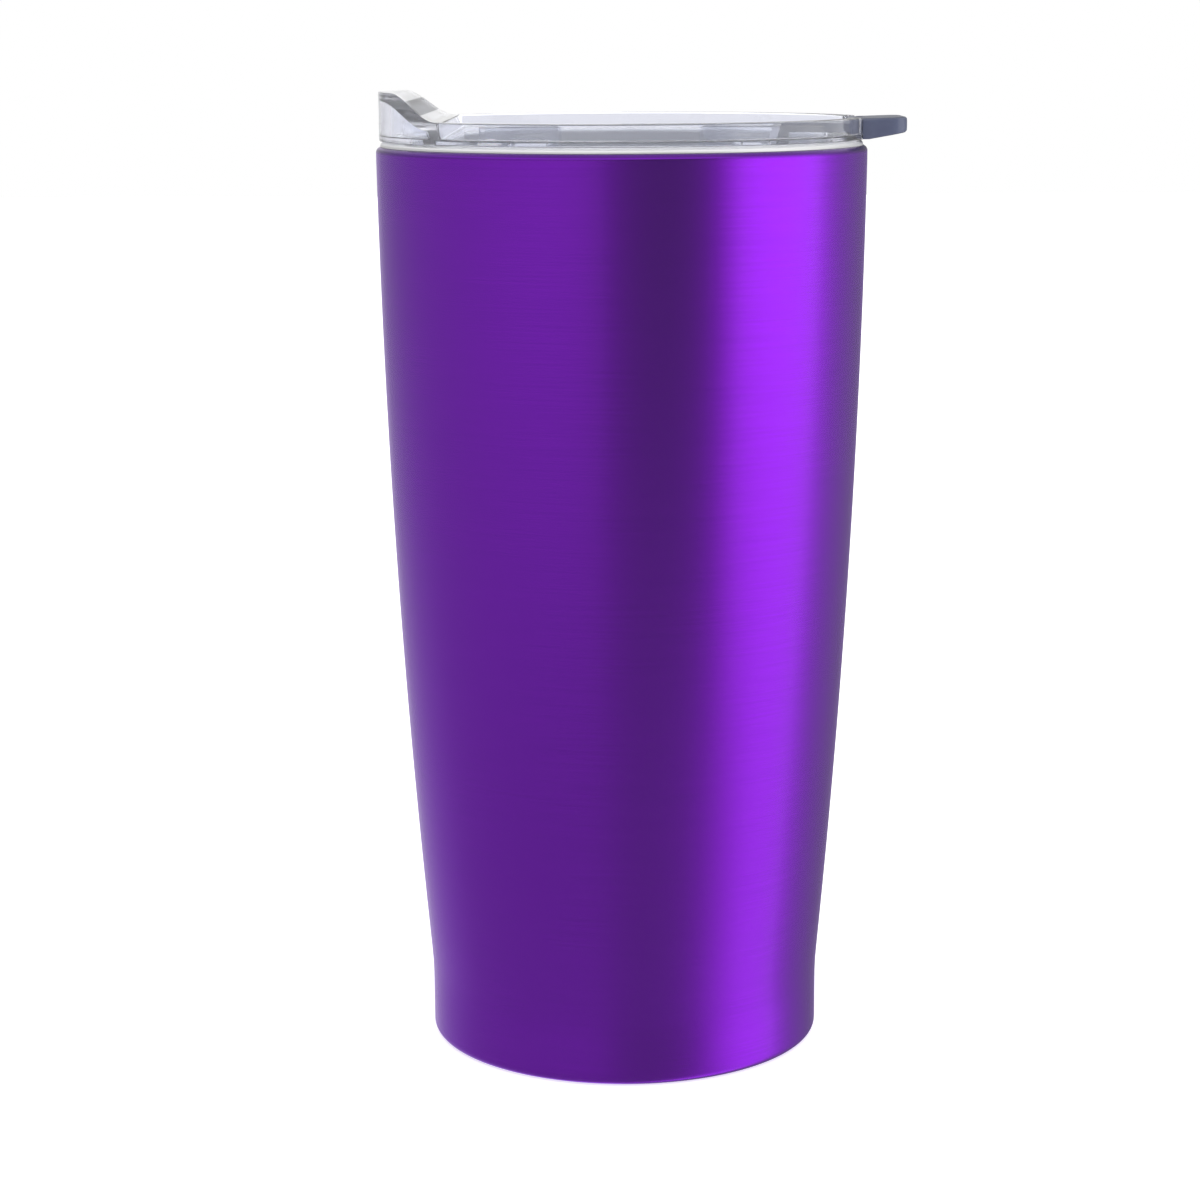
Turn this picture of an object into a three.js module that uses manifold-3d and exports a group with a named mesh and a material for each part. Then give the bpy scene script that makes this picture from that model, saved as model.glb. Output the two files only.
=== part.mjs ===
// Double-wall steel tumbler with a clear push-on lid and a thumb slider, in millimetres.
// Origin at the centre of the resting face, +Z up, +X towards the slider's thumb tab, -X towards the spout.
import * as THREE from 'three';
import { mergeVertices } from 'three/addons/utils/BufferGeometryUtils.js';
import Module from 'manifold-3d';

const wasm = await Module();
wasm.setup();

// Driving dimensions
const SEGMENTS = 48;
const SHEET = 0.5;
const GAP = 0.3;

const FOOT_R = 36;
const FOOT_CORNER = 1.5;
const MOUTH_R = 44;
const MOUTH_Z = 162;
const FLARE_SLOPE = 0.0137;
const FLARE_BEND = 0.000266;
const FLARE_BLEND = 0.15;
const SHOULDER_R = 1;
const SHELL_TOP = 164.6;
const HEM_R = 32.9;
const HEM_TOP = 5;

const LINER_MOUTH_R = 41;
const LINER_NECK_Z = 153;
const LINER_SEAM_Z = 20.5;
const LINER_CORNER = 9;
const LINER_FLOOR_Z = 10.5;
const LIP_BOTTOM = 164.75;
const LIP_ROLL = 0.75;
const LIP_R = 43.2;

const RIM_R = 43.4;
const RIM_INNER_R = 41.2;
const RIM_TOP = 169.5;
const FLANGE_Z = 165.6;
const FLANGE_TOP = 166.5;
const PLUG_R = 39.6;
const PLUG_INNER_R = 37.8;
const PLUG_BOTTOM = 152.8;
const DECK_BOTTOM = 159.4;
const DECK_TOP = 161.2;
const GROOVE_Z = [155.9, 160.1];
const GROOVE_R = 38.9;

const SPOUT_TOP = 174.3;
const SPOUT_CREST_X = -40.4;
const SPOUT_FOOT_X = -31.5;
const SPOUT_WALL = 1.5;
const SPOUT_INSET = 0.6;
const DAM_TOP_X = -30.6;
const DAM_FOOT_X = -28.9;

const NOTCH_HALF = 8.4;
const NOTCH_START_X = 33.4;
const RAIL_WIDTH = 1.6;
const RAIL_TOP = 167.9;
const RAILS_X = [[-25, -11], [14.3, 35.6]];
const HOOKS_X = [[-19.5, -13], [21, 25.8]];
const HOOK_Z = [164.7, 165.7];
const HOOK_REACH = 7.5;
const DRINK_SLOT = { x: [-26.5, -21.5], half: 6.5, corner: 2 };
const VENT_R = 1.2;
const VENT_X = 20;

const SLIDER_HALF = 8;
const SLIDER_X = [-27.9, 27.6];
const SLIDER_Z = [161.7, 164.3];
const ARM_START_X = 29.5;
const ARM_LOW = 166.8;
const ARM_TOP = 168.3;
const NECK_X = 40.2;
const NECK_TOP = 169.3;
const TRAVEL = 7;
const TAB_HALF = 9;
const TAB_TIP_X = 50.6;
const TAB_LOW = 165.7;
const TAB_CORNER = 3;
const SEAL_X = [-26.9, -20.5];
const SEAL_HALF = 7;
const SEAL_Z = [161.4, 163.1];
const STEM_Y = 4;
const STEM_R = 1.1;

// Geometry helpers: every piece becomes one closed solid
function solid(geometry) {
  geometry.deleteAttribute('normal');
  geometry.deleteAttribute('uv');
  const merged = mergeVertices(geometry, 1e-4);
  const index = merged.index.array;
  const triangles = [];
  for (let i = 0; i < index.length; i += 3) {
    const [a, b, c] = [index[i], index[i + 1], index[i + 2]];
    if (a !== b && b !== c && c !== a) {
      triangles.push(a, b, c);
    }
  }
  return new wasm.Manifold(new wasm.Mesh({
    numProp: 3,
    vertProperties: new Float32Array(merged.attributes.position.array),
    triVerts: new Uint32Array(triangles),
  }));
}

function geometryOf(body) {
  const mesh = body.getMesh();
  const geometry = new THREE.BufferGeometry();
  geometry.setAttribute('position', new THREE.BufferAttribute(new Float32Array(mesh.vertProperties), 3));
  geometry.setIndex(new THREE.BufferAttribute(new Uint32Array(mesh.triVerts), 1));
  geometry.computeVertexNormals();
  return geometry;
}

// Turns a closed outline of [radius, height] points about the Z axis
function turned(outline, segments = SEGMENTS) {
  const points = outline.map(([r, z]) => new THREE.Vector2(r, z));
  points.push(points[0].clone());
  const geometry = new THREE.LatheGeometry(points, segments);
  geometry.rotateX(Math.PI / 2);
  return solid(geometry);
}

function shapeOf(outline) {
  return new THREE.Shape(outline.map(([x, y]) => new THREE.Vector2(x, y)));
}

// Extrudes a side outline of [x, z] points to y = -half .. half
function acrossY(outline, half) {
  const geometry = new THREE.ExtrudeGeometry(shapeOf(outline), { depth: 2 * half, bevelEnabled: false });
  geometry.rotateX(Math.PI / 2);
  geometry.translate(0, half, 0);
  return solid(geometry);
}

// Extrudes a plan outline of [x, y] points from z0 up to z1
function upwards(outline, z0, z1) {
  const geometry = new THREE.ExtrudeGeometry(shapeOf(outline), { depth: z1 - z0, bevelEnabled: false });
  geometry.translate(0, 0, z0);
  return solid(geometry);
}

function block([x0, x1], [y0, y1], [z0, z1]) {
  const geometry = new THREE.BoxGeometry(x1 - x0, y1 - y0, z1 - z0);
  geometry.translate((x0 + x1) / 2, (y0 + y1) / 2, (z0 + z1) / 2);
  return solid(geometry);
}

function drum(radius, z0, z1, segments = SEGMENTS) {
  return turned([[0, z0], [radius, z0], [radius, z1], [0, z1]], segments);
}

// Points on an arc, in degrees, from start to end
function arc(cx, cy, radius, start, end, steps = 4) {
  const points = [];
  for (let i = 0; i <= steps; i += 1) {
    const angle = THREE.MathUtils.degToRad(start + (end - start) * i / steps);
    points.push([cx + radius * Math.cos(angle), cy + radius * Math.sin(angle)]);
  }
  return points;
}

// A rectangle with rounded corners
function roundedRectangle([x0, x1], [y0, y1], corner, steps = 4) {
  return [
    ...arc(x1 - corner, y0 + corner, corner, -90, 0, steps),
    ...arc(x1 - corner, y1 - corner, corner, 0, 90, steps),
    ...arc(x0 + corner, y1 - corner, corner, 90, 180, steps),
    ...arc(x0 + corner, y0 + corner, corner, 180, 270, steps),
  ];
}

const STEEL = { color: 0xc9cacd, roughness: 0.3, metalness: 1 };
const SILICONE = { color: 0xe6e6ea, roughness: 0.6, metalness: 0 };
const GREY_PLASTIC = { color: 0x5f6580, roughness: 0.4, metalness: 0 };

const tumbler = new THREE.Group();

function addPiece(name, body, finish) {
  const mesh = new THREE.Mesh(geometryOf(body), new THREE.MeshStandardMaterial(finish));
  mesh.name = name;
  tumbler.add(mesh);
}

// Outer wall: a short straight foot, then a long shallow flare up to the mouth
function shellRadius(z) {
  const below = MOUTH_Z - z;
  const flare = MOUTH_R - FLARE_SLOPE * below - FLARE_BEND * below ** 2;
  return (FOOT_R + flare + Math.hypot(FOOT_R - flare, FLARE_BLEND)) / 2;
}

const OUTSIDE_STATIONS = [10, 13, 17, 34, 54, 76, 98, 120, 142, MOUTH_Z];
const INSIDE_STATIONS = [10, 17, 54, 98, MOUTH_Z];

function outerShell() {
  const shoulderX = MOUTH_R - SHOULDER_R;
  const shoulderZ = SHELL_TOP - SHOULDER_R;
  const cornerX = FOOT_R - FOOT_CORNER;
  const outside = [
    ...arc(cornerX, FOOT_CORNER, FOOT_CORNER, -90, 0),
    ...OUTSIDE_STATIONS.map((z) => [shellRadius(z), z]),
    ...arc(shoulderX, shoulderZ, SHOULDER_R, 0, 90),
  ];
  const inside = [
    ...arc(shoulderX, shoulderZ, SHOULDER_R - SHEET, 90, 0, 2),
    ...INSIDE_STATIONS.map((z) => [shellRadius(z) - SHEET, z]).reverse(),
    ...arc(cornerX, FOOT_CORNER, FOOT_CORNER - SHEET, 0, -90, 2),
  ];
  const hem = [
    [HEM_R, SHEET],
    [HEM_R, HEM_TOP],
    [HEM_R - SHEET, HEM_TOP],
    [HEM_R - SHEET, SHEET],
    [HEM_R, 0],
  ];
  return turned([...outside, ...inside, ...hem]);
}

// Inner wall radius between the corner above the floor and the straight neck at the mouth
function linerRadius(z) {
  const below = LINER_NECK_Z - z;
  return LINER_MOUTH_R - 0.045 * below - 0.00013 * below ** 2;
}

const LINER_STATIONS = [LINER_SEAM_Z + GAP, 60, 105, LINER_NECK_Z];

function linerWall() {
  const inside = LINER_STATIONS.map((z) => [linerRadius(z), z]).reverse();
  const outside = LINER_STATIONS.map((z) => [linerRadius(z) + SHEET, z]);
  const lip = [
    [LINER_MOUTH_R + SHEET, LIP_BOTTOM],
    ...arc(LIP_R - LIP_ROLL, LIP_BOTTOM, LIP_ROLL, 0, 90, 3),
    ...arc(LINER_MOUTH_R + LIP_ROLL, LIP_BOTTOM, LIP_ROLL, 90, 180, 3),
  ];
  return turned([...outside, ...lip, ...inside]);
}

function linerBottom() {
  const wallR = linerRadius(LINER_SEAM_Z);
  const cornerX = wallR - LINER_CORNER;
  const cornerZ = LINER_FLOOR_Z + LINER_CORNER;
  return turned([
    [0, LINER_FLOOR_Z - SHEET],
    ...arc(cornerX, cornerZ, LINER_CORNER + SHEET, -90, 0, 5),
    [wallR + SHEET, LINER_SEAM_Z],
    [wallR, LINER_SEAM_Z],
    ...arc(cornerX, cornerZ, LINER_CORNER, 0, -90, 5),
    [0, LINER_FLOOR_Z],
  ]);
}

// Welded plate that closes the vacuum space, with a dimple round the pump-out hole
const PLATE_Z = 3;
const DIMPLE = { inner: 4.4, outer: 6.2, rise: 1.4 };
const PUMP_HOLE_R = 0.7;
const PLATE_R = HEM_R - SHEET - GAP;
const PLATE_SKIRT_Z = 1.4;

function vacuumPlate() {
  const top = PLATE_Z + SHEET;
  return turned([
    [PUMP_HOLE_R, PLATE_Z + DIMPLE.rise],
    [DIMPLE.inner, PLATE_Z + DIMPLE.rise],
    [DIMPLE.outer, PLATE_Z],
    [PLATE_R - SHEET, PLATE_Z],
    [PLATE_R - SHEET, PLATE_SKIRT_Z],
    [PLATE_R, PLATE_SKIRT_Z],
    [PLATE_R, top],
    [DIMPLE.outer + SHEET / 2, top],
    [DIMPLE.inner + SHEET / 2, top + DIMPLE.rise],
    [PUMP_HOLE_R, top + DIMPLE.rise],
  ]);
}

// Bead of sealing glass under the pump-out hole
function sealingBead() {
  const top = PLATE_Z + DIMPLE.rise - GAP;
  const radius = 2.6;
  const depth = 1;
  return turned([
    [0, top - depth],
    [radius * 0.6, top - depth * 0.9],
    [radius * 0.9, top - depth * 0.5],
    [radius, top],
    [0, top],
  ], 16);
}

// Pressed cover disc: its middle rests flush with the foot
const COVER_PAD_R = 27;
const COVER_STEP = 0.5;

function baseCover() {
  const edge = PLATE_R;
  const sheet = 0.5;
  return turned([
    [0, 0],
    [COVER_PAD_R, 0],
    [COVER_PAD_R + COVER_STEP, COVER_STEP],
    [edge, COVER_STEP],
    [edge, COVER_STEP + sheet],
    [COVER_PAD_R + COVER_STEP - sheet / 2, COVER_STEP + sheet],
    [COVER_PAD_R - sheet / 2, sheet],
    [0, sheet],
  ]);
}

// Getter pellet, and the strap that holds it under the liner floor
const GETTER = { x: 13, radius: 4, z: [7.3, 9.2] };
const STRAP = { half: 2.5, reach: 5, foot: 3, sheet: 0.5 };

function getterPellet() {
  return drum(GETTER.radius, GETTER.z[0], GETTER.z[1], 24).translate([GETTER.x, 0, 0]);
}

function getterStrap() {
  const { half, reach, foot, sheet } = STRAP;
  const top = LINER_FLOOR_Z - SHEET - GAP;
  const low = GETTER.z[0] - GAP;
  const side = (sign) => [
    [sign * (reach + sheet), low - sheet],
    [sign * (reach + sheet), top - sheet],
    [sign * (reach + foot), top - sheet],
    [sign * (reach + foot), top],
    [sign * reach, top],
    [sign * reach, low],
  ];
  return acrossY([...side(1), ...side(-1).reverse()], half).translate([GETTER.x, 0, 0]);
}

addPiece('outer_shell', outerShell(), { color: 0x6a1ba6, roughness: 0.3, metalness: 1 });
addPiece('liner_wall', linerWall(), STEEL);
addPiece('liner_bottom', linerBottom(), STEEL);
addPiece('vacuum_plate', vacuumPlate(), STEEL);
addPiece('sealing_bead', sealingBead(), { color: 0x7d7f86, roughness: 0.2, metalness: 0 });
addPiece('getter_pellet', getterPellet(), { color: 0x55565a, roughness: 0.7, metalness: 0.5 });
addPiece('getter_strap', getterStrap(), STEEL);
addPiece('base_cover', baseCover(), STEEL);

// Spout: an S-shaped ramp straight across the lid, between the rim's level and the crest
function ramp(crestX, footX, crestZ, footZ, steps = 10) {
  const points = [];
  for (let i = 0; i <= steps; i += 1) {
    const x = crestX + (footX - crestX) * i / steps;
    points.push([x, (crestZ + footZ) / 2 + (crestZ - footZ) / 2 * Math.cos(Math.PI * i / steps)]);
  }
  return points;
}

function spoutOutside() {
  const outline = [
    [-RIM_R - 1, DECK_BOTTOM],
    [DAM_FOOT_X, DECK_BOTTOM],
    [DAM_FOOT_X, DECK_TOP],
    [DAM_TOP_X, RIM_TOP],
    ...ramp(SPOUT_CREST_X, SPOUT_FOOT_X, SPOUT_TOP, RIM_TOP).reverse(),
    [-RIM_R - 1, SPOUT_TOP],
  ];
  const above = drum(RIM_R, FLANGE_Z, SPOUT_TOP + 1);
  const below = drum(PLUG_INNER_R + 1, DECK_BOTTOM, FLANGE_Z + 1);
  return acrossY(outline, RIM_R).intersect(above.add(below));
}

function spoutHollow() {
  const crestZ = SPOUT_TOP - SPOUT_WALL;
  const footZ = RIM_TOP - SPOUT_WALL;
  const outline = [
    [-RIM_R, DECK_BOTTOM - 1],
    [DAM_FOOT_X - SPOUT_WALL, DECK_BOTTOM - 1],
    [DAM_FOOT_X - SPOUT_WALL, DECK_TOP],
    ...ramp(SPOUT_CREST_X - SPOUT_INSET, SPOUT_FOOT_X - SPOUT_INSET, crestZ, footZ).reverse(),
    [-RIM_R, crestZ],
  ];
  const above = drum(RIM_INNER_R, FLANGE_TOP, SPOUT_TOP);
  const below = drum(PLUG_INNER_R, DECK_BOTTOM - 1, FLANGE_TOP + 1);
  return acrossY(outline, RIM_R).intersect(above.add(below));
}

// Inner wall that carries the plug's wall up under the spout
function spoutInnerWall() {
  const ring = turned([
    [PLUG_INNER_R, FLANGE_Z],
    [PLUG_INNER_R + 1.4, FLANGE_Z],
    [PLUG_INNER_R + 1.4, RIM_TOP - 0.4],
    [PLUG_INNER_R, RIM_TOP - 0.4],
  ]);
  return ring.intersect(block([-RIM_R, SPOUT_FOOT_X - 2], [-RIM_R, RIM_R], [FLANGE_Z, RIM_TOP]));
}

function lidBowl() {
  const edge = 0.3;
  return turned([
    [0, DECK_BOTTOM],
    [PLUG_INNER_R, DECK_BOTTOM],
    [PLUG_INNER_R, PLUG_BOTTOM],
    [PLUG_R - edge, PLUG_BOTTOM],
    [PLUG_R, PLUG_BOTTOM + edge],
    [PLUG_R, GROOVE_Z[0]],
    [GROOVE_R, GROOVE_Z[0]],
    [GROOVE_R, GROOVE_Z[1]],
    [PLUG_R, GROOVE_Z[1]],
    [PLUG_R, FLANGE_Z],
    [RIM_R - edge, FLANGE_Z],
    [RIM_R, FLANGE_Z + edge],
    [RIM_R, RIM_TOP - edge],
    [RIM_R - edge, RIM_TOP],
    [RIM_INNER_R + edge, RIM_TOP],
    [RIM_INNER_R, RIM_TOP - edge],
    [RIM_INNER_R, FLANGE_TOP],
    [PLUG_INNER_R, FLANGE_TOP],
    [PLUG_INNER_R, DECK_TOP],
    [0, DECK_TOP],
  ]);
}

function rails() {
  const parts = [];
  for (const side of [-1, 1]) {
    const outer = side * (NOTCH_HALF + RAIL_WIDTH);
    for (const span of RAILS_X) {
      parts.push(block(span, [side * NOTCH_HALF, outer].sort((a, b) => a - b), [DECK_TOP - 0.5, RAIL_TOP]));
    }
    for (const span of HOOKS_X) {
      parts.push(block(span, [side * HOOK_REACH, outer].sort((a, b) => a - b), HOOK_Z));
    }
  }
  return parts;
}

function lidBody() {
  const solids = [lidBowl(), spoutOutside(), ...rails()];
  const joined = wasm.Manifold.union(solids).subtract(spoutHollow()).add(spoutInnerWall());
  const notch = block([NOTCH_START_X, RIM_R + 1], [-NOTCH_HALF, NOTCH_HALF], [FLANGE_TOP, RIM_TOP + 1]);
  const { x, half, corner } = DRINK_SLOT;
  const slot = upwards(roundedRectangle(x, [-half, half], corner), DECK_BOTTOM - 1, DECK_TOP + 1);
  const vent = drum(VENT_R, DECK_BOTTOM - 1, DECK_TOP + 1, 16).translate([VENT_X, 0, 0]);
  return joined.subtract(notch).subtract(slot).subtract(vent);
}

// Silicone ring in the plug's groove, with lips that press on the liner's neck
const GASKET_WALL = 0.8;
const GASKET_LIP = 0.7;
const GASKET_LIPS = 3;

function lidGasket() {
  const z0 = GROOVE_Z[0] + GAP;
  const z1 = GROOVE_Z[1] - GAP;
  const inner = GROOVE_R + GAP;
  const wall = inner + GASKET_WALL;
  const pitch = (z1 - z0) / GASKET_LIPS;
  const lips = [];
  for (let i = 0; i < GASKET_LIPS; i += 1) {
    const z = z0 + pitch * i;
    lips.push([wall, z + pitch * 0.2], [wall + GASKET_LIP, z + pitch * 0.6], [wall, z + pitch * 0.9]);
  }
  return turned([[inner, z0], [wall, z0], ...lips, [wall, z1], [inner, z1]]);
}

// Thumb slider: a flat plate between the rails, an arm through the rim's notch and the tab outside
function sliderPlate() {
  const [x0, x1] = SLIDER_X;
  const [z0, z1] = SLIDER_Z;
  const side = [
    [x0 + 1, z0],
    [x1 + 0.6, z0],
    [ARM_START_X, ARM_LOW],
    [RIM_R + 1.2, ARM_LOW],
    [RIM_R + 1.2, NECK_TOP],
    [NECK_X + 1, NECK_TOP],
    [NECK_X, ARM_TOP],
    [ARM_START_X - 1.3, ARM_TOP],
    [x1 - 1, z1],
    [x0, z1],
    [x0, z0 + 1],
  ];
  return acrossY(side, SLIDER_HALF);
}

function thumbTab() {
  const side = [
    [RIM_R - 3, TAB_LOW],
    [RIM_R + GAP, TAB_LOW],
    [TAB_TIP_X - 0.6, 166.75],
    [TAB_TIP_X, 167.4],
    [TAB_TIP_X, 169.1],
    [TAB_TIP_X - 0.5, 169.6],
    [RIM_R - 3, NECK_TOP],
  ];
  const plan = roundedRectangle([RIM_R - 4, TAB_TIP_X], [-TAB_HALF, TAB_HALF], TAB_CORNER);
  return acrossY(side, TAB_HALF + 1)
    .intersect(upwards(plan, FLANGE_Z - 1, RIM_TOP + 1))
    .subtract(drum(RIM_R + GAP, FLANGE_Z - 1, RIM_TOP + 1));
}

function slider() {
  const pocket = block(
    [SEAL_X[0] - GAP, SEAL_X[1] + GAP],
    [-SEAL_HALF - GAP, SEAL_HALF + GAP],
    [SLIDER_Z[0] - 1, SEAL_Z[1] + GAP],
  );
  const stemX = (SEAL_X[0] + SEAL_X[1]) / 2;
  let body = sliderPlate().add(thumbTab()).subtract(pocket);
  for (const y of [-STEM_Y, STEM_Y]) {
    body = body.subtract(drum(STEM_R + GAP, SLIDER_Z[0] - 1, SLIDER_Z[1] + 1, 16).translate([stemX, y, 0]));
  }
  return body.subtract(drum(VENT_R, SLIDER_Z[0] - 1, SLIDER_Z[1] + 1, 16).translate([VENT_X - TRAVEL, 0, 0]));
}

// Silicone pad in the slider's pocket, held by two stems with mushroom heads
function sliderSeal() {
  const pad = upwards(roundedRectangle(SEAL_X, [-SEAL_HALF, SEAL_HALF], 1.5), SEAL_Z[0], SEAL_Z[1]);
  const head = SLIDER_Z[1] + GAP;
  const stem = turned([
    [0, SEAL_Z[1] - 0.5],
    [STEM_R, SEAL_Z[1] - 0.5],
    [STEM_R, head],
    [STEM_R + 0.9, head],
    [STEM_R * 0.6, head + 0.8],
    [0, head + 0.8],
  ], 16);
  const stemX = (SEAL_X[0] + SEAL_X[1]) / 2;
  return pad.add(stem.translate([stemX, -STEM_Y, 0])).add(stem.translate([stemX, STEM_Y, 0]));
}

addPiece('lid_body', lidBody(), { color: 0xd8dae8, roughness: 0.05, metalness: 0, transparent: true, opacity: 0.4 });
addPiece('lid_gasket', lidGasket(), SILICONE);
addPiece('slider', slider(), GREY_PLASTIC);
addPiece('slider_seal', sliderSeal(), SILICONE);

export default tumbler;
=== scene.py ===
"""Insulated tumbler with a clear push-on lid and a grey thumb slider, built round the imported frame."""
import math

import bmesh
import bpy
from mathutils import Matrix, Vector


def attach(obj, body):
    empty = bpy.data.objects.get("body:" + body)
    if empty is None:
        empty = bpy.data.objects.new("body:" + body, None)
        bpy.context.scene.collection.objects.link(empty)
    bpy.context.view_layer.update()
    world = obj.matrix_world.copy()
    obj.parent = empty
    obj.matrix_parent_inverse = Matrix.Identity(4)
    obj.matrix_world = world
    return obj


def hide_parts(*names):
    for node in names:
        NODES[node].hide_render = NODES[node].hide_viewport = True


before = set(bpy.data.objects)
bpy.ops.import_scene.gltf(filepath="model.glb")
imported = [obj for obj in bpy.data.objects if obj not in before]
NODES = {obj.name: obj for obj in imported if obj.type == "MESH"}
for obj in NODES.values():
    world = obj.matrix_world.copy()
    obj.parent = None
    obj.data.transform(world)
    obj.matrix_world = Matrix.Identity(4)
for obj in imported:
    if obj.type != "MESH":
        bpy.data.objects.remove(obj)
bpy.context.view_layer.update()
MM = 0.001

# ---------------------------------------------------------------- sizes, in millimetres

TURN_STEPS, LID_STEPS = 256, 192
LID_EDGE, TAB_EDGE, SLIDER_EDGE, SEAL_EDGE = 0.28, 0.6, 0.35, 0.15
SHEET, CLEAR = 0.5, 0.3
FOOT_R, FOOT_CORNER = 36.0, 1.5
MOUTH_R, MOUTH_Z = 44.0, 162.0
FLARE_SLOPE, FLARE_BEND, FLARE_BLEND = 0.0137, 0.000266, 0.15
SHOULDER_R, SHELL_TOP = 1.0, 164.6
HEM_R, HEM_TOP = 32.9, 5.0
LINER_MOUTH_R, LINER_NECK_Z, LINER_SEAM_Z = 41.0, 153.0, 20.5
LINER_CORNER, LINER_FLOOR_Z = 9.0, 10.5
LIP_TOP, LIP_R, LIP_ROLL, LIP_BOTTOM = 165.5, 43.2, 0.75, 164.75
RIM_R, RIM_INNER_R, RIM_TOP = 43.4, 41.2, 169.5
FLANGE_Z, FLANGE_TOP = 165.6, 166.5
PLUG_R, PLUG_INNER_R, PLUG_BOTTOM = 39.6, 37.8, 152.8
DECK_BOTTOM, DECK_TOP = 159.4, 161.2
GROOVE_Z, GROOVE_R = (155.9, 160.1), 38.9
SPOUT_TOP, SPOUT_CREST_X, SPOUT_FOOT_X = 174.3, -40.4, -31.5
SPOUT_WALL, SPOUT_INSET = 1.5, 0.6
DAM_TOP_X, DAM_FOOT_X = -30.6, -28.9


# ---------------------------------------------------------------- camera and stage

def add_camera():
    """The photograph's view: eleven degrees down, long lens."""
    eye = Vector((0.0, -520.7, 182.6)) * MM
    tilt, pan, roll = (math.radians(a) for a in (11.0, -0.47, -0.283))
    ahead = Vector((math.sin(pan) * math.cos(tilt), math.cos(pan) * math.cos(tilt), -math.sin(tilt)))
    right = Vector((math.cos(pan), -math.sin(pan), 0.0))
    up = right.cross(ahead)
    rolled_right = right * math.cos(roll) + up * math.sin(roll)
    rolled_up = up * math.cos(roll) - right * math.sin(roll)
    data = bpy.data.cameras.new("camera")
    data.lens, data.sensor_width = 85.95, 36.0
    data.clip_start = 0.01
    camera = bpy.data.objects.new("camera", data)
    bpy.context.scene.collection.objects.link(camera)
    camera.matrix_world = Matrix.Translation(eye) @ Matrix(
        (rolled_right, rolled_up, -ahead)).transposed().to_4x4()
    bpy.context.scene.camera = camera


def link(node_tree, start, end):
    node_tree.links.new(start, end)


def math_node(tree, operation, first, second=None):
    """A Math node whose inputs are sockets or numbers."""
    node = tree.nodes.new("ShaderNodeMath")
    node.operation = operation
    for socket, value in zip(node.inputs, (first, second)):
        if value is None:
            continue
        if isinstance(value, (int, float)):
            socket.default_value = value
        else:
            link(tree, value, socket)
    return node.outputs[0]


def ramp_node(tree, factor, stops, interpolation="LINEAR"):
    """A Color Ramp with stops of (position, grey or colour)."""
    node = tree.nodes.new("ShaderNodeValToRGB")
    ramp = node.color_ramp
    ramp.interpolation = interpolation
    while len(ramp.elements) < len(stops):
        ramp.elements.new(0.5)
    for element, (position, value) in zip(ramp.elements, stops):
        element.position = position
        colour = (value, value, value) if isinstance(value, (int, float)) else value
        element.color = (*colour, 1.0)
    link(tree, factor, node.inputs[0])
    return node.outputs[0]


# Brightness of the studio round the object: degrees to the right of the camera, as seen from the object.
# HIGH is level with the object and above it, LOW is what shines up from the table.
HIGH_BANDS = [
    (-180, 1.0), (-152, 0.34), (-130, 0.28), (-85, 0.31), (-35, 0.41), (-10, 0.40),
    (-7, 0.16), (6, 0.10), (28, 0.07), (44, 0.09), (51, 0.55), (57, 1.2),
    (101, 1.2), (109, 0.45), (120, 0.29), (155, 0.18), (180, 0.4),
]
LOW_BANDS = [
    (-180, 1.0), (-150, 0.55), (-130, 0.40), (-100, 0.27), (-60, 0.25), (-12, 0.25),
    (-6, 0.20), (8, 0.17), (30, 0.18), (43, 0.25), (56, 0.5), (72, 0.88),
    (97, 0.88), (104, 0.42), (118, 0.27), (150, 0.18), (180, 0.4),
]
LOW_TO_HIGH = [(0.0, 0.0), (0.31, 0.0), (0.456, 1.0), (1.0, 1.0)]
# What shines through the clear plastic: white behind the object, cooler and dimmer to the sides
THROUGH_BANDS = [
    (-180, (0.88, 0.88, 0.93)), (-140, (0.95, 0.95, 1.0)), (-100, (0.70, 0.72, 0.80)), (-50, (1.0, 1.0, 1.0)),
    (60, (1.0, 1.0, 1.0)), (100, (0.70, 0.72, 0.80)), (140, (0.95, 0.95, 1.0)), (180, (0.88, 0.88, 0.93)),
]
CEILING = [(0.0, 0.0), (0.60, 0.0), (0.74, 1.0), (1.0, 1.0)]
# Light passes through and along many walls of the clear lid before it leaves
LIGHT_BOUNCES = 32


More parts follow.
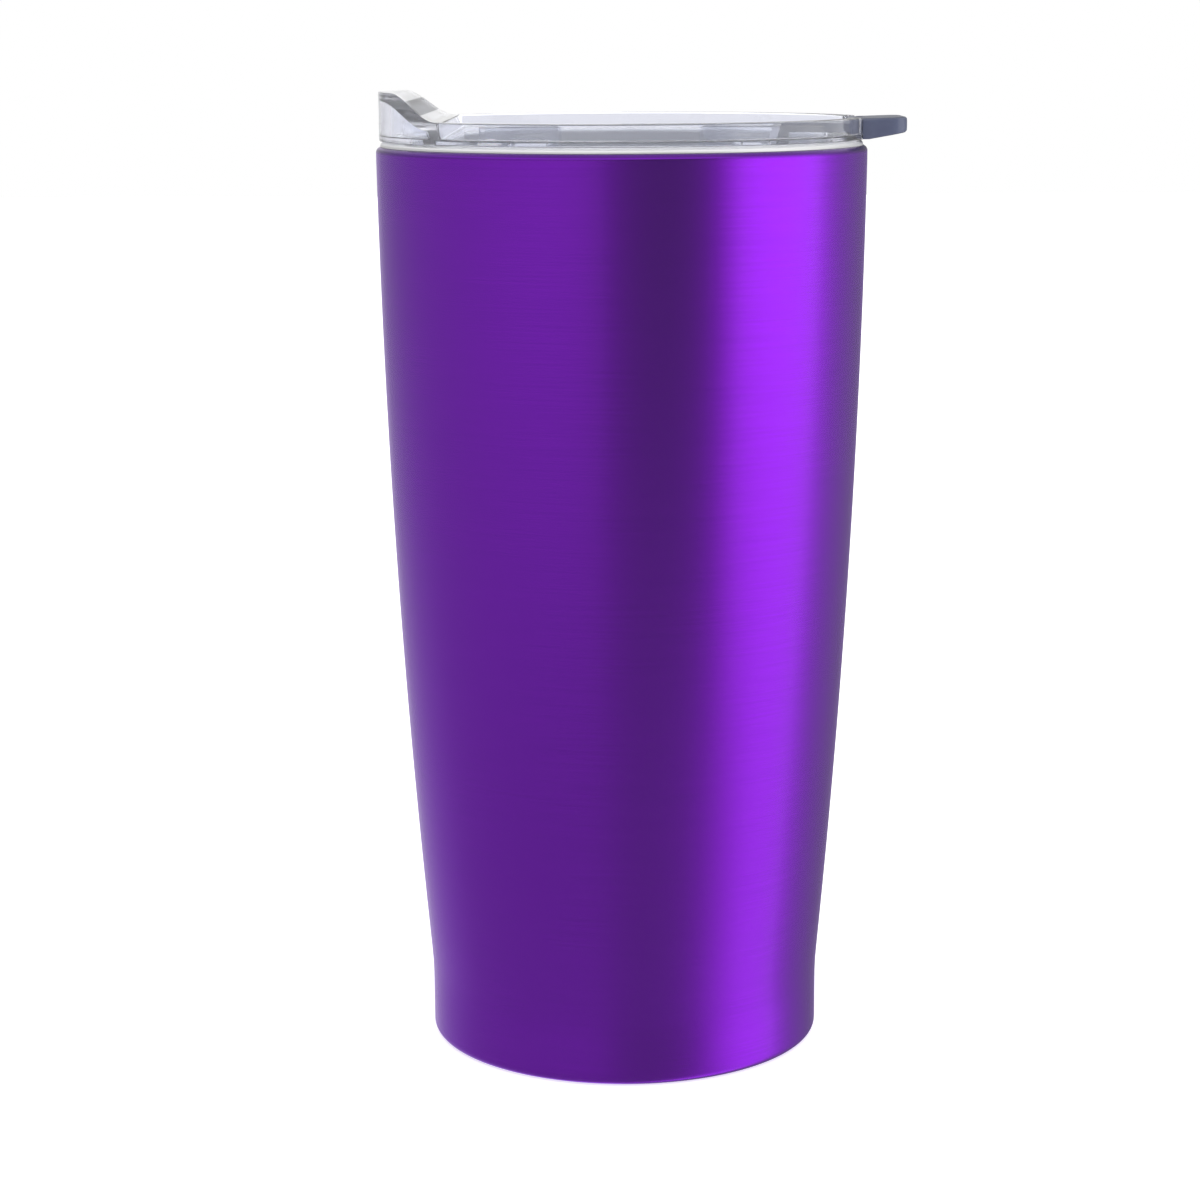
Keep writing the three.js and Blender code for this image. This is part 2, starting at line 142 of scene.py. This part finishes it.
def add_studio():
    """Soft studio light: a white tent, open behind, with a dim gap and one bright tall panel."""
    world = bpy.data.worlds.new("studio")
    world.use_nodes = True
    tree = world.node_tree
    tree.nodes.clear()
    place = tree.nodes.new("ShaderNodeTexCoord")
    split = tree.nodes.new("ShaderNodeSeparateXYZ")
    link(tree, place.outputs["Generated"], split.inputs[0])
    turned = math_node(tree, "ARCTAN2", split.outputs[0], math_node(tree, "MULTIPLY", split.outputs[1], -1.0))
    part = math_node(tree, "ADD", math_node(tree, "DIVIDE", turned, 2 * math.pi), 0.5)
    height = math_node(tree, "ADD", math_node(tree, "MULTIPLY", split.outputs[2], 0.5), 0.5)
    ceiling = ramp_node(tree, height, CEILING)
    ray = tree.nodes.new("ShaderNodeLightPath")
    low, high, through = (
        background(tree, ramp_node(tree, part, [((a + 180) / 360, v) for a, v in bands]))
        for bands in (LOW_BANDS, HIGH_BANDS, THROUGH_BANDS))
    mirrored = mixed(tree, ramp_node(tree, height, LOW_TO_HIGH), low, high)
    paper = background(tree)
    sides = mixed(tree, ray.outputs["Is Transmission Ray"], mirrored, through)
    dome = mixed(tree, ceiling, sides, paper)
    plain = math_node(tree, "MAXIMUM", ray.outputs["Is Camera Ray"], ray.outputs["Is Diffuse Ray"])
    seen = mixed(tree, plain, dome, paper)
    out = tree.nodes.new("ShaderNodeOutputWorld")
    link(tree, seen, out.inputs[0])
    bpy.context.scene.world = world
    bpy.context.scene.view_settings.view_transform = "Standard"
    for limit in ("max_bounces", "transmission_bounces", "glossy_bounces"):
        setattr(bpy.context.scene.cycles, limit, LIGHT_BOUNCES)


def background(tree, colour=None):
    node = tree.nodes.new("ShaderNodeBackground")
    node.inputs["Color"].default_value = (1, 1, 1, 1)
    if colour is not None:
        link(tree, colour, node.inputs["Color"])
    return node.outputs[0]


def mixed(tree, factor, first, second):
    node = tree.nodes.new("ShaderNodeMixShader")
    for socket, source in zip(node.inputs, (factor, first, second)):
        link(tree, source, socket)
    return node.outputs[0]


def add_floor():
    """A pale floor that catches a soft shadow."""
    mesh = bpy.data.meshes.new("floor")
    reach = 3.0
    mesh.from_pydata([(-reach, -reach, 0), (reach, -reach, 0), (reach, reach, 0), (-reach, reach, 0)],
                     [], [(0, 1, 2, 3)])
    floor = bpy.data.objects.new("floor", mesh)
    bpy.context.scene.collection.objects.link(floor)
    finish = bpy.data.materials.new("floor_paper")
    finish.use_nodes = True
    shader = finish.node_tree.nodes["Principled BSDF"]
    shader.inputs["Base Color"].default_value = (0.9, 0.9, 0.9, 1)
    shader.inputs["Emission Color"].default_value = (1, 1, 1, 1)
    shader.inputs["Emission Strength"].default_value = 0.6
    shader.inputs["Roughness"].default_value = 0.9
    mesh.materials.append(finish)
    floor.visible_glossy = False
    floor.visible_shadow = False


# ---------------------------------------------------------------- mesh helpers

def arc(cx, cz, radius, start, end, steps=8):
    """Points on an arc, in degrees."""
    angles = (math.radians(start + (end - start) * i / steps) for i in range(steps + 1))
    return [(cx + radius * math.cos(a), cz + radius * math.sin(a)) for a in angles]


def object_from(name, verts, faces):
    mesh = bpy.data.meshes.new(name)
    mesh.from_pydata(verts, [], faces)
    mesh.validate()
    thing = bpy.data.objects.new(name, mesh)
    bpy.context.scene.collection.objects.link(thing)
    return thing


def turned(name, outline, steps=TURN_STEPS):
    """A closed outline of (radius, height) in millimetres, turned about the Z axis."""
    verts, rows = [], []
    for r, z in outline:
        if r < 1e-6:
            rows.append([len(verts)] * steps)
            verts.append((0.0, 0.0, z * MM))
            continue
        rows.append(list(range(len(verts), len(verts) + steps)))
        for i in range(steps):
            a = 2 * math.pi * i / steps
            verts.append((r * math.cos(a) * MM, r * math.sin(a) * MM, z * MM))
    faces = []
    for here, there in zip(rows, rows[1:] + rows[:1]):
        for i in range(steps):
            j = (i + 1) % steps
            face = []
            for v in (here[i], here[j], there[j], there[i]):
                if v not in face:
                    face.append(v)
            if len(face) > 2:
                faces.append(face)
    return face_outwards(object_from(name, verts, faces))


def face_outwards(thing):
    work = bmesh.new()
    work.from_mesh(thing.data)
    bmesh.ops.recalc_face_normals(work, faces=work.faces)
    if work.calc_volume(signed=True) < 0:
        bmesh.ops.reverse_faces(work, faces=work.faces)
    work.to_mesh(thing.data)
    work.free()
    return thing


def smooth(thing, angle=40):
    """Smooth shading between faces that meet at less than the angle; large faces stay flat."""
    face_outwards(thing)
    thing.data.shade_smooth()
    thing.data.set_sharp_from_angle(angle=math.radians(angle))
    weighted = thing.modifiers.new("weighted", "WEIGHTED_NORMAL")
    weighted.keep_sharp = True
    return settle(thing)


def extruded(first, last):
    """The closed solid between two loops with the same number of corners, in millimetres."""
    count = len(first)
    verts = [(x * MM, y * MM, z * MM) for x, y, z in first + last]
    faces = [list(range(count)), list(range(2 * count - 1, count - 1, -1))]
    faces += [[i, (i + 1) % count, (i + 1) % count + count, i + count] for i in range(count)]
    return face_outwards(object_from("tool", verts, faces))


def across_y(outline, half):
    """A closed (x, z) outline in millimetres, extruded from y = -half to half."""
    return extruded([(x, -half, z) for x, z in outline], [(x, half, z) for x, z in outline])


def upwards(outline, low, high):
    """A closed (x, y) outline in millimetres, extruded from z = low to high."""
    return extruded([(x, y, low) for x, y in outline], [(x, y, high) for x, y in outline])


def block(xs, ys, zs):
    corners = [(xs[0], ys[0]), (xs[1], ys[0]), (xs[1], ys[1]), (xs[0], ys[1])]
    return upwards(corners, *zs)


def drum(radius, low, high, steps=TURN_STEPS, centre=(0.0, 0.0)):
    angles = [2 * math.pi * i / steps for i in range(steps)]
    outline = [(centre[0] + radius * math.cos(a), centre[1] + radius * math.sin(a)) for a in angles]
    return upwards(outline, low, high)


def rounded_rectangle(xs, ys, corner, steps=6):
    return (
        arc(xs[1] - corner, ys[0] + corner, corner, -90, 0, steps)
        + arc(xs[1] - corner, ys[1] - corner, corner, 0, 90, steps)
        + arc(xs[0] + corner, ys[1] - corner, corner, 90, 180, steps)
        + arc(xs[0] + corner, ys[0] + corner, corner, 180, 270, steps)
    )


def settle(thing):
    """Turns the thing's modifiers into its mesh."""
    bpy.context.view_layer.update()
    graph = bpy.context.evaluated_depsgraph_get()
    mesh = bpy.data.meshes.new_from_object(thing.evaluated_get(graph), depsgraph=graph)
    thing.modifiers.clear()
    thing.data = mesh
    return thing


def carve(base, operation, *tools):
    """UNION, DIFFERENCE or INTERSECT of the base with each tool; the tools are used up."""
    for tool in tools:
        step = base.modifiers.new("carve", "BOOLEAN")
        step.operation, step.solver, step.object = operation, "EXACT", tool
        settle(base)
        bpy.data.objects.remove(tool)
    return base


WELD, SLIVER = 0.04, 0.01
FINE_SHARE = 0.2


def round_edges(thing, width, segments=3, angle=35, is_fine=None):
    """Rounds every edge sharper than the angle, as a mould does, and the fine ones by less."""
    work = bmesh.new()
    work.from_mesh(thing.data)
    bmesh.ops.remove_doubles(work, verts=work.verts, dist=WELD * MM)
    bmesh.ops.dissolve_degenerate(work, edges=work.edges, dist=SLIVER * MM)
    share = work.edges.layers.float.new("bevel_weight_edge")
    for edge in work.edges:
        if edge.is_manifold and edge.calc_face_angle() > math.radians(angle):
            fine = is_fine is not None and all(is_fine(v.co / MM) for v in edge.verts)
            edge[share] = FINE_SHARE if fine else 1.0
    work.to_mesh(thing.data)
    work.free()
    bevel = thing.modifiers.new("round", "BEVEL")
    bevel.width, bevel.segments = width * MM, segments
    bevel.limit_method = "WEIGHT"
    bevel.use_clamp_overlap = False
    bevel.miter_outer = "MITER_ARC"
    return settle(thing)


# ---------------------------------------------------------------- body pieces

def shell_radius(z):
    below = MOUTH_Z - z
    flare = MOUTH_R - FLARE_SLOPE * below - FLARE_BEND * below ** 2
    return (FOOT_R + flare + math.hypot(FOOT_R - flare, FLARE_BLEND)) / 2


def stations(low, high, count):
    return [low + (high - low) * i / (count - 1) for i in range(count)]


def outer_shell():
    shoulder_r, shoulder_z = MOUTH_R - SHOULDER_R, SHELL_TOP - SHOULDER_R
    corner_r = FOOT_R - FOOT_CORNER
    wall = stations(FOOT_CORNER + 1, MOUTH_Z, 60)
    outline = (
        arc(corner_r, FOOT_CORNER, FOOT_CORNER, -90, 0)
        + [(shell_radius(z), z) for z in wall]
        + arc(shoulder_r, shoulder_z, SHOULDER_R, 0, 90)
        + arc(shoulder_r, shoulder_z, SHOULDER_R - SHEET, 90, 0, 4)
        + [(shell_radius(z) - SHEET, z) for z in reversed(wall[::4])]
        + arc(corner_r, FOOT_CORNER, FOOT_CORNER - SHEET, 0, -90, 4)
        + [(HEM_R, SHEET), (HEM_R, HEM_TOP), (HEM_R - SHEET, HEM_TOP)]
        + arc(HEM_R, SHEET, SHEET, 180, 270, 4)
    )
    return turned("shell", outline)


def liner_radius(z):
    below = LINER_NECK_Z - z
    return LINER_MOUTH_R - 0.045 * below - 0.00013 * below ** 2


def liner():
    """The bare steel inside, from its rolled drinking lip down to the weld above the corner."""
    wall = stations(LINER_SEAM_Z + 0.12, LINER_NECK_Z, 40)
    outline = (
        [(liner_radius(z) + SHEET, z) for z in wall]
        + [(LINER_MOUTH_R + SHEET, SHELL_TOP + 0.02), (LIP_R, SHELL_TOP + 0.02)]
        + arc(LIP_R - LIP_ROLL, LIP_BOTTOM, LIP_ROLL, 0, 90, 8)
        + arc(LINER_MOUTH_R + SHEET, LIP_TOP - SHEET, SHEET, 90, 180, 8)
        + [(liner_radius(z), z) for z in reversed(wall)]
    )
    return turned("liner", outline)


def liner_cup():
    """The pressed bottom of the liner, up to the weld."""
    seam_r = liner_radius(LINER_SEAM_Z)
    corner_r, corner_z = seam_r - LINER_CORNER, LINER_FLOOR_Z + LINER_CORNER
    outline = (
        [(0, LINER_FLOOR_Z - SHEET)]
        + arc(corner_r, corner_z, LINER_CORNER + SHEET, -90, 0, 16)
        + [(seam_r + SHEET, LINER_SEAM_Z), (seam_r, LINER_SEAM_Z)]
        + arc(corner_r, corner_z, LINER_CORNER, 0, -90, 16)
        + [(0, LINER_FLOOR_Z)]
    )
    return turned("liner_cup", outline)


def cover_disc():
    """The pressed disc under the foot: a flat middle and a stepped edge, with rounded presses."""
    step, pad = 0.5, 27.0
    edge = HEM_R - SHEET - CLEAR
    outline = (
        [(0, 0), (pad - 1.0, 0), (pad + 0.5, step / 2), (pad + 2.0, step), (edge, step)]
        + arc(edge - SHEET / 2, step + SHEET / 2, SHEET / 2, -60, 60, 4)
        + [(edge - SHEET / 2, step + SHEET), (pad + 1.8, step + SHEET), (pad - 1.2, SHEET), (0, SHEET)]
    )
    return turned("cover_disc", outline)


# ---------------------------------------------------------------- lid pieces

# The notch ends at points of the rim's outline, 0.07 mm past its half width, so that no short edge is left
NOTCH_HALF, NOTCH_STEPS = 8.4, 6
RAIL_WIDTH, RAIL_TOP = 1.6, 167.9
RAILS_X = ((-25.0, -11.0), (14.3, 35.6))
HOOKS_X = ((-19.5, -13.0), (21.0, 25.8))
HOOK_Z, HOOK_REACH = (164.7, 165.7), 7.5
SLOT_X, SLOT_HALF, SLOT_CORNER = (-26.5, -21.5), 6.5, 2.0
VENT_R, VENT_X, TRAVEL = 1.2, 20.0, 7.0
# Cutting solids reach past the lid: above it, and past both its ends
ABOVE, FAR = 180.0, 60.0


def ramp(crest_x, foot_x, crest_z, foot_z, steps=40):
    """Points down the spout's S-shaped slope."""
    points = []
    for i in range(steps + 1):
        share = i / steps
        height = (crest_z + foot_z) / 2 + (crest_z - foot_z) / 2 * math.cos(math.pi * share)
        points.append((crest_x + (foot_x - crest_x) * share, height))
    return points


def lid_body():
    body = turned("lid_shell", [
        (0, DECK_BOTTOM), (PLUG_INNER_R, DECK_BOTTOM), (PLUG_INNER_R, PLUG_BOTTOM), (PLUG_R, PLUG_BOTTOM),
        (PLUG_R, GROOVE_Z[0]), (GROOVE_R, GROOVE_Z[0]), (GROOVE_R, GROOVE_Z[1]), (PLUG_R, GROOVE_Z[1]),
        (PLUG_R, FLANGE_Z), (RIM_R, FLANGE_Z), (RIM_R, ABOVE - 1), (0, ABOVE - 1),
    ], LID_STEPS)
    slope = ramp(SPOUT_CREST_X, SPOUT_FOOT_X, SPOUT_TOP, RIM_TOP)
    sky = across_y([(-FAR, ABOVE), (-FAR, SPOUT_TOP)] + slope + [(FAR, RIM_TOP), (FAR, ABOVE)], FAR)
    well = turned("tool", [
        (0, DECK_TOP), (PLUG_INNER_R, DECK_TOP), (PLUG_INNER_R, FLANGE_TOP),
        (RIM_INNER_R, FLANGE_TOP), (RIM_INNER_R, ABOVE), (0, ABOVE),
    ], LID_STEPS)
    lean = (DAM_TOP_X - DAM_FOOT_X) / (RIM_TOP - DECK_TOP)
    behind_dam = [
        (DAM_FOOT_X - lean, DECK_TOP - 1), (FAR, DECK_TOP - 1), (FAR, ABOVE + 1),
        (DAM_FOOT_X + lean * (ABOVE + 1 - DECK_TOP), ABOVE + 1),
    ]
    carve(well, "INTERSECT", across_y(behind_dam, FAR + 10))
    carve(body, "DIFFERENCE", sky, well)
    add_rails(body)
    hollow_spout(body)
    notch_half = RIM_R * math.sin(NOTCH_STEPS * math.tau / LID_STEPS)
    notch = block((RIM_INNER_R - 2, RIM_R + 5), (-notch_half, notch_half), (FLANGE_TOP, ABOVE))
    slot_outline = rounded_rectangle(SLOT_X, (-SLOT_HALF, SLOT_HALF), SLOT_CORNER)
    slot = upwards(slot_outline, DECK_BOTTOM - 1, DECK_TOP + 1)
    vent = drum(VENT_R, DECK_BOTTOM - 1, DECK_TOP + 1, 32, (VENT_X, 0))
    carve(body, "DIFFERENCE", notch, slot, vent)
    return round_edges(body, LID_EDGE, is_fine=is_on_spout)


def is_on_spout(point):
    return point.x < DAM_TOP_X and point.z > FLANGE_TOP + 0.5


def add_rails(body):
    for side in (-1, 1):
        outer = side * (NOTCH_HALF + RAIL_WIDTH)
        for span in RAILS_X:
            carve(body, "UNION", block(span, sorted((side * NOTCH_HALF, outer)), (DECK_TOP - 0.5, RAIL_TOP)))
        for span in HOOKS_X:
            carve(body, "UNION", block(span, sorted((side * HOOK_REACH, outer - side * 0.2)), HOOK_Z))


def hollow_spout(body):
    """The space inside the spout, open to the cup below, with the plug's wall carried up in it."""
    crest_x, foot_x = SPOUT_CREST_X - SPOUT_INSET, SPOUT_FOOT_X - SPOUT_INSET
    inside_x = DAM_FOOT_X - SPOUT_WALL
    slope = ramp(crest_x, foot_x, SPOUT_TOP - SPOUT_WALL, RIM_TOP - SPOUT_WALL)
    side = (
        [(-FAR, SPOUT_TOP - SPOUT_WALL)]
        + slope
        + [(inside_x, DECK_TOP), (inside_x, DECK_BOTTOM - 1), (-FAR, DECK_BOTTOM - 1)]
    )
    space = turned("tool", [
        (0, DECK_BOTTOM - 0.5), (PLUG_INNER_R, DECK_BOTTOM - 0.5), (PLUG_INNER_R, RIM_TOP - 0.4),
        (PLUG_INNER_R + 1.4, RIM_TOP - 0.4), (PLUG_INNER_R + 1.4, FLANGE_TOP),
        (RIM_INNER_R, FLANGE_TOP), (RIM_INNER_R, ABOVE), (0, ABOVE),
    ], LID_STEPS)
    carve(space, "INTERSECT", across_y(side, FAR))
    carve(body, "DIFFERENCE", space)


def gasket():
    """The silicone ring in the plug's groove, with three lips."""
    wall, lip, lips = 0.8, 0.7, 3
    low, high = GROOVE_Z[0] + CLEAR, GROOVE_Z[1] - CLEAR
    inner = GROOVE_R + CLEAR
    pitch = (high - low) / lips
    outline = [(inner, low), (inner + wall, low)]
    for i in range(lips):
        z = low + pitch * i
        outline += [(inner + wall, z + pitch * 0.15), (inner + wall + lip * 0.85, z + pitch * 0.5)]
        outline += arc(inner + wall + lip - 0.15, z + pitch * 0.6, 0.15, -60, 90, 4)
        outline += [(inner + wall, z + pitch * 0.9)]
    outline += [(inner + wall, high), (inner, high)]
    return turned("gasket", outline)


# ---------------------------------------------------------------- slider pieces

SLIDER_HALF, SLIDER_X, SLIDER_Z = 8.0, (-27.9, 27.6), (161.7, 164.3)
ARM_X, ARM_LOW, ARM_TOP = 29.5, 166.8, 168.3
NECK_X, NECK_TOP = 40.2, 169.3
TAB_HALF, TAB_CORNER, TAB_LOW = 9.0, 3.0, 165.7
TAB_TIP_X, TAB_TIP_Z = 50.6, (166.9, 169.6)
SEAL_X, SEAL_HALF, SEAL_Z = (-26.9, -20.5), 7.0, (161.4, 163.1)
STEM_Y, STEM_R = 4.0, 1.1


def thumb_slider():
    """A flat plate between the rails, an arm through the rim's notch, and the tab outside the rim."""
    x0, x1 = SLIDER_X
    z0, z1 = SLIDER_Z
    body = across_y([
        (x0 + 1, z0), (x1 + 0.6, z0), (ARM_X, ARM_LOW), (RIM_R + 1.2, ARM_LOW),
        (RIM_R + 1.2, NECK_TOP), (NECK_X + 1, NECK_TOP), (NECK_X, ARM_TOP), (ARM_X - 1.3, ARM_TOP),
        (x1 - 1, z1), (x0, z1), (x0, z0 + 1),
    ], SLIDER_HALF)
    tab = across_y([
        (RIM_R - 3, TAB_LOW), (RIM_R + CLEAR, TAB_LOW), (TAB_TIP_X, TAB_TIP_Z[0]), (TAB_TIP_X, TAB_TIP_Z[1]),
        (RIM_R - 3, NECK_TOP),
    ], TAB_HALF + 1)
    plan = rounded_rectangle((RIM_R - 4, TAB_TIP_X), (-TAB_HALF, TAB_HALF), TAB_CORNER, 8)
    carve(tab, "INTERSECT", upwards(plan, FLANGE_Z - 1, RIM_TOP + 1))
    round_edges(tab, TAB_EDGE, 5)
    carve(tab, "DIFFERENCE", drum(RIM_R + 0.08, FLANGE_Z - 1, RIM_TOP + 1))
    carve(body, "UNION", tab)
    pocket_half = SEAL_HALF + CLEAR
    pocket_x = (SEAL_X[0] - CLEAR, SEAL_X[1] + CLEAR)
    pocket = block(pocket_x, (-pocket_half, pocket_half), (z0 - 1, SEAL_Z[1] + CLEAR))
    middle = sum(SEAL_X) / 2
    holes = [drum(STEM_R + CLEAR, z0 - 1, z1 + 1, 32, (middle, y)) for y in (-STEM_Y, STEM_Y)]
    vent = drum(VENT_R, z0 - 1, z1 + 1, 32, (VENT_X - TRAVEL, 0))
    carve(body, "DIFFERENCE", pocket, *holes, vent)
    body.name = "thumb_slider"
    return round_edges(body, SLIDER_EDGE)


def seal_pad():
    """The silicone pad in the slider's pocket and its two stems with mushroom heads."""
    pad = upwards(rounded_rectangle(SEAL_X, (-SEAL_HALF, SEAL_HALF), 1.5), *SEAL_Z)
    head = SLIDER_Z[1] + CLEAR
    middle = sum(SEAL_X) / 2
    for y in (-STEM_Y, STEM_Y):
        stem = turned("tool", [
            (0, SEAL_Z[1] - 0.5), (STEM_R, SEAL_Z[1] - 0.5), (STEM_R, head), (STEM_R + 0.9, head),
            (STEM_R + 0.7, head + 0.4), (STEM_R * 0.6, head + 0.8), (0, head + 0.8),
        ], 48)
        stem.data.transform(Matrix.Translation((middle * MM, y * MM, 0)))
        carve(pad, "UNION", stem)
    pad.name = "seal_pad"
    return round_edges(pad, SEAL_EDGE)


# ---------------------------------------------------------------- materials

def new_material(name, **settings):
    """A Principled material; settings are socket names with _ for spaces."""
    material = bpy.data.materials.new(name)
    material.use_nodes = True
    shader = material.node_tree.nodes["Principled BSDF"]
    for key, value in settings.items():
        socket = shader.inputs[key.replace("_", " ")]
        socket.default_value = (*value, 1.0) if isinstance(value, tuple) else value
    return material, material.node_tree, shader


def stretched_noise(tree, scale, detail=3.0, roughness=0.6):
    """Noise whose cells are pulled out or squeezed along each axis; it runs round the body with no seam."""
    place = tree.nodes.new("ShaderNodeTexCoord")
    mapping = tree.nodes.new("ShaderNodeMapping")
    mapping.inputs["Scale"].default_value = scale
    link(tree, place.outputs["Object"], mapping.inputs["Vector"])
    noise = tree.nodes.new("ShaderNodeTexNoise")
    noise.inputs["Scale"].default_value = 1.0
    noise.inputs["Detail"].default_value = detail
    noise.inputs["Roughness"].default_value = roughness
    link(tree, mapping.outputs[0], noise.inputs["Vector"])
    return noise.outputs["Fac"]


def height_share(tree, low, high):
    """0 below the low height, 1 above the high one, in millimetres."""
    place = tree.nodes.new("ShaderNodeTexCoord")
    split = tree.nodes.new("ShaderNodeSeparateXYZ")
    link(tree, place.outputs["Object"], split.inputs[0])
    span = tree.nodes.new("ShaderNodeMapRange")
    span.inputs["From Min"].default_value = low * MM
    span.inputs["From Max"].default_value = high * MM
    link(tree, split.outputs[2], span.inputs["Value"])
    return span.outputs[0]


def multiplied(tree, first, second):
    mix = tree.nodes.new("ShaderNodeMix")
    mix.data_type, mix.blend_type = "RGBA", "MULTIPLY"
    mix.inputs["Factor"].default_value = 1.0
    link(tree, first, mix.inputs[6])
    link(tree, second, mix.inputs[7])
    return mix.outputs[2]


def raised(tree, shader, height, depth, strength):
    """Bump of a depth in metres."""
    bump = tree.nodes.new("ShaderNodeBump")
    bump.inputs["Strength"].default_value = strength
    bump.inputs["Distance"].default_value = depth
    link(tree, height, bump.inputs["Height"])
    link(tree, bump.outputs[0], shader.inputs["Normal"])


def brushed(tree, shader, scale=(60, 60, 5000), depth=0.00002, strength=0.3):
    """Fine scratches round the axis: bump from squeezed noise, and a tangent that runs round."""
    grain = stretched_noise(tree, scale)
    raised(tree, shader, grain, depth, strength)
    tangent = tree.nodes.new("ShaderNodeTangent")
    tangent.direction_type = "RADIAL"
    tangent.axis = "Z"
    link(tree, tangent.outputs[0], shader.inputs["Tangent"])
    return grain


def purple_lacquer():
    """Clear violet lacquer over brushed steel, with painted shade darkening its colour over the shoulder to
    dim the reflection of the light above.
    """
    material, tree, shader = new_material(
        "purple_lacquer", Metallic=1.0, Roughness=0.21, Anisotropic=0.9,
        Coat_Weight=0.25, Coat_Roughness=0.08, Sheen_Weight=0.03, Sheen_Roughness=1.0)
    grain = brushed(tree, shader)
    colour = ramp_node(tree, grain, [(0.3, (0.33, 0.003, 0.92)), (0.7, (0.375, 0.005, 1.0))])
    # Painted shade: the base colour falls to a quarter over the shoulder's rounding, where the light above
    # would show as a highlight
    shoulder = height_share(tree, SHELL_TOP - SHOULDER_R - 0.3, SHELL_TOP)
    shoulder_painted_shade = ramp_node(tree, shoulder, [(0.1, 1.0), (0.6, 0.25)])
    link(tree, multiplied(tree, colour, shoulder_painted_shade), shader.inputs["Base Color"])
    return material


def carried_over(material, *nodes):
    """CAD nodes whose shape stays get the finished material."""
    for node in nodes:
        mesh = NODES[node].data
        mesh.materials.clear()
        mesh.materials.append(material)


def dress(thing, material, body, slot, *nodes):
    """Gives a piece smooth shading, its material and its body, and hides the CAD nodes it stands for; the
    slot is not used.
    """
    smooth(thing)
    thing.data.materials.clear()
    thing.data.materials.append(material)
    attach(thing, body)
    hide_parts(*nodes)


def clear_plastic():
    """Cool clear plastic with a slight haze."""
    material, *_ = new_material(
        "clear_plastic", Base_Color=(0.935, 0.947, 0.995), Roughness=0.03, IOR=1.49, Transmission_Weight=0.95)
    return material


GRAIN_SHADE = 0.88


def bare_steel(name, colour, roughness, scale, strength, metallic=1.0):
    material, tree, shader = new_material(name, Metallic=metallic, Roughness=roughness, Anisotropic=0.6)
    grain = brushed(tree, shader, scale=scale, strength=strength)
    dark = tuple(channel * GRAIN_SHADE for channel in colour)
    link(tree, ramp_node(tree, grain, [(0.3, dark), (0.7, colour)]), shader.inputs["Base Color"])
    return material


def sealing_glass():
    """Dark solder glass, once molten, with small bubbles."""
    material, tree, shader = new_material("sealing_glass", Roughness=0.15, IOR=1.6, Coat_Weight=0.5)
    cloud = stretched_noise(tree, (1500, 1500, 1500))
    shade = ramp_node(tree, cloud, [(0.35, (0.05, 0.055, 0.06)), (0.7, (0.16, 0.17, 0.18))])
    link(tree, shade, shader.inputs["Base Color"])
    raised(tree, shader, cloud, 0.00005, 0.3)
    return material


def getter_alloy():
    """Pressed grey powder."""
    material, tree, shader = new_material("getter_alloy", Metallic=0.6, Roughness=0.75)
    grains = stretched_noise(tree, (4000, 4000, 4000), detail=5.0)
    shade = ramp_node(tree, grains, [(0.3, (0.10, 0.10, 0.105)), (0.7, (0.24, 0.24, 0.25))])
    link(tree, shade, shader.inputs["Base Color"])
    raised(tree, shader, grains, 0.00004, 0.5)
    return material


def silicone():
    material, tree, shader = new_material(
        "silicone", Roughness=0.45, Subsurface_Weight=0.3, Subsurface_Scale=0.001, IOR=1.41)
    cloud = stretched_noise(tree, (900, 900, 900))
    shade = ramp_node(tree, cloud, [(0.3, (0.78, 0.78, 0.80)), (0.7, (0.85, 0.85, 0.87))])
    link(tree, shade, shader.inputs["Base Color"])
    return material


def grey_plastic():
    material, tree, shader = new_material("grey_plastic", Roughness=0.3, IOR=1.5, Coat_Weight=0.2)
    cloud = stretched_noise(tree, (500, 500, 500))
    shade = ramp_node(tree, cloud, [(0.3, (0.085, 0.098, 0.165)), (0.7, (0.10, 0.115, 0.185))])
    link(tree, shade, shader.inputs["Base Color"])
    raised(tree, shader, stretched_noise(tree, (6000, 6000, 6000)), 0.00003, 0.15)
    return material


add_camera()
add_studio()
add_floor()
dress(outer_shell(), purple_lacquer(), "tumbler", "purple_lacquer", "outer_shell")
steel = bare_steel("brushed_steel", (0.97, 0.97, 0.98), 0.42, (60, 60, 4000), 0.2, metallic=0.7)
mill_steel = bare_steel("plain_steel", (0.62, 0.62, 0.64), 0.35, (900, 900, 900), 0.15)
dress(liner(), steel, "tumbler", "brushed_steel", "liner_wall")
dress(liner_cup(), steel, "tumbler", "brushed_steel", "liner_bottom")
dress(cover_disc(), mill_steel, "tumbler", "plain_steel", "base_cover")
carried_over(mill_steel, "vacuum_plate", "getter_strap")
carried_over(sealing_glass(), "sealing_bead")
carried_over(getter_alloy(), "getter_pellet")
dress(lid_body(), clear_plastic(), "lid", "clear_plastic", "lid_body")
rubber = silicone()
dress(gasket(), rubber, "lid", "silicone", "lid_gasket")
dress(thumb_slider(), grey_plastic(), "thumb_slider", "grey_plastic", "slider")
dress(seal_pad(), rubber, "thumb_slider", "silicone", "slider_seal")
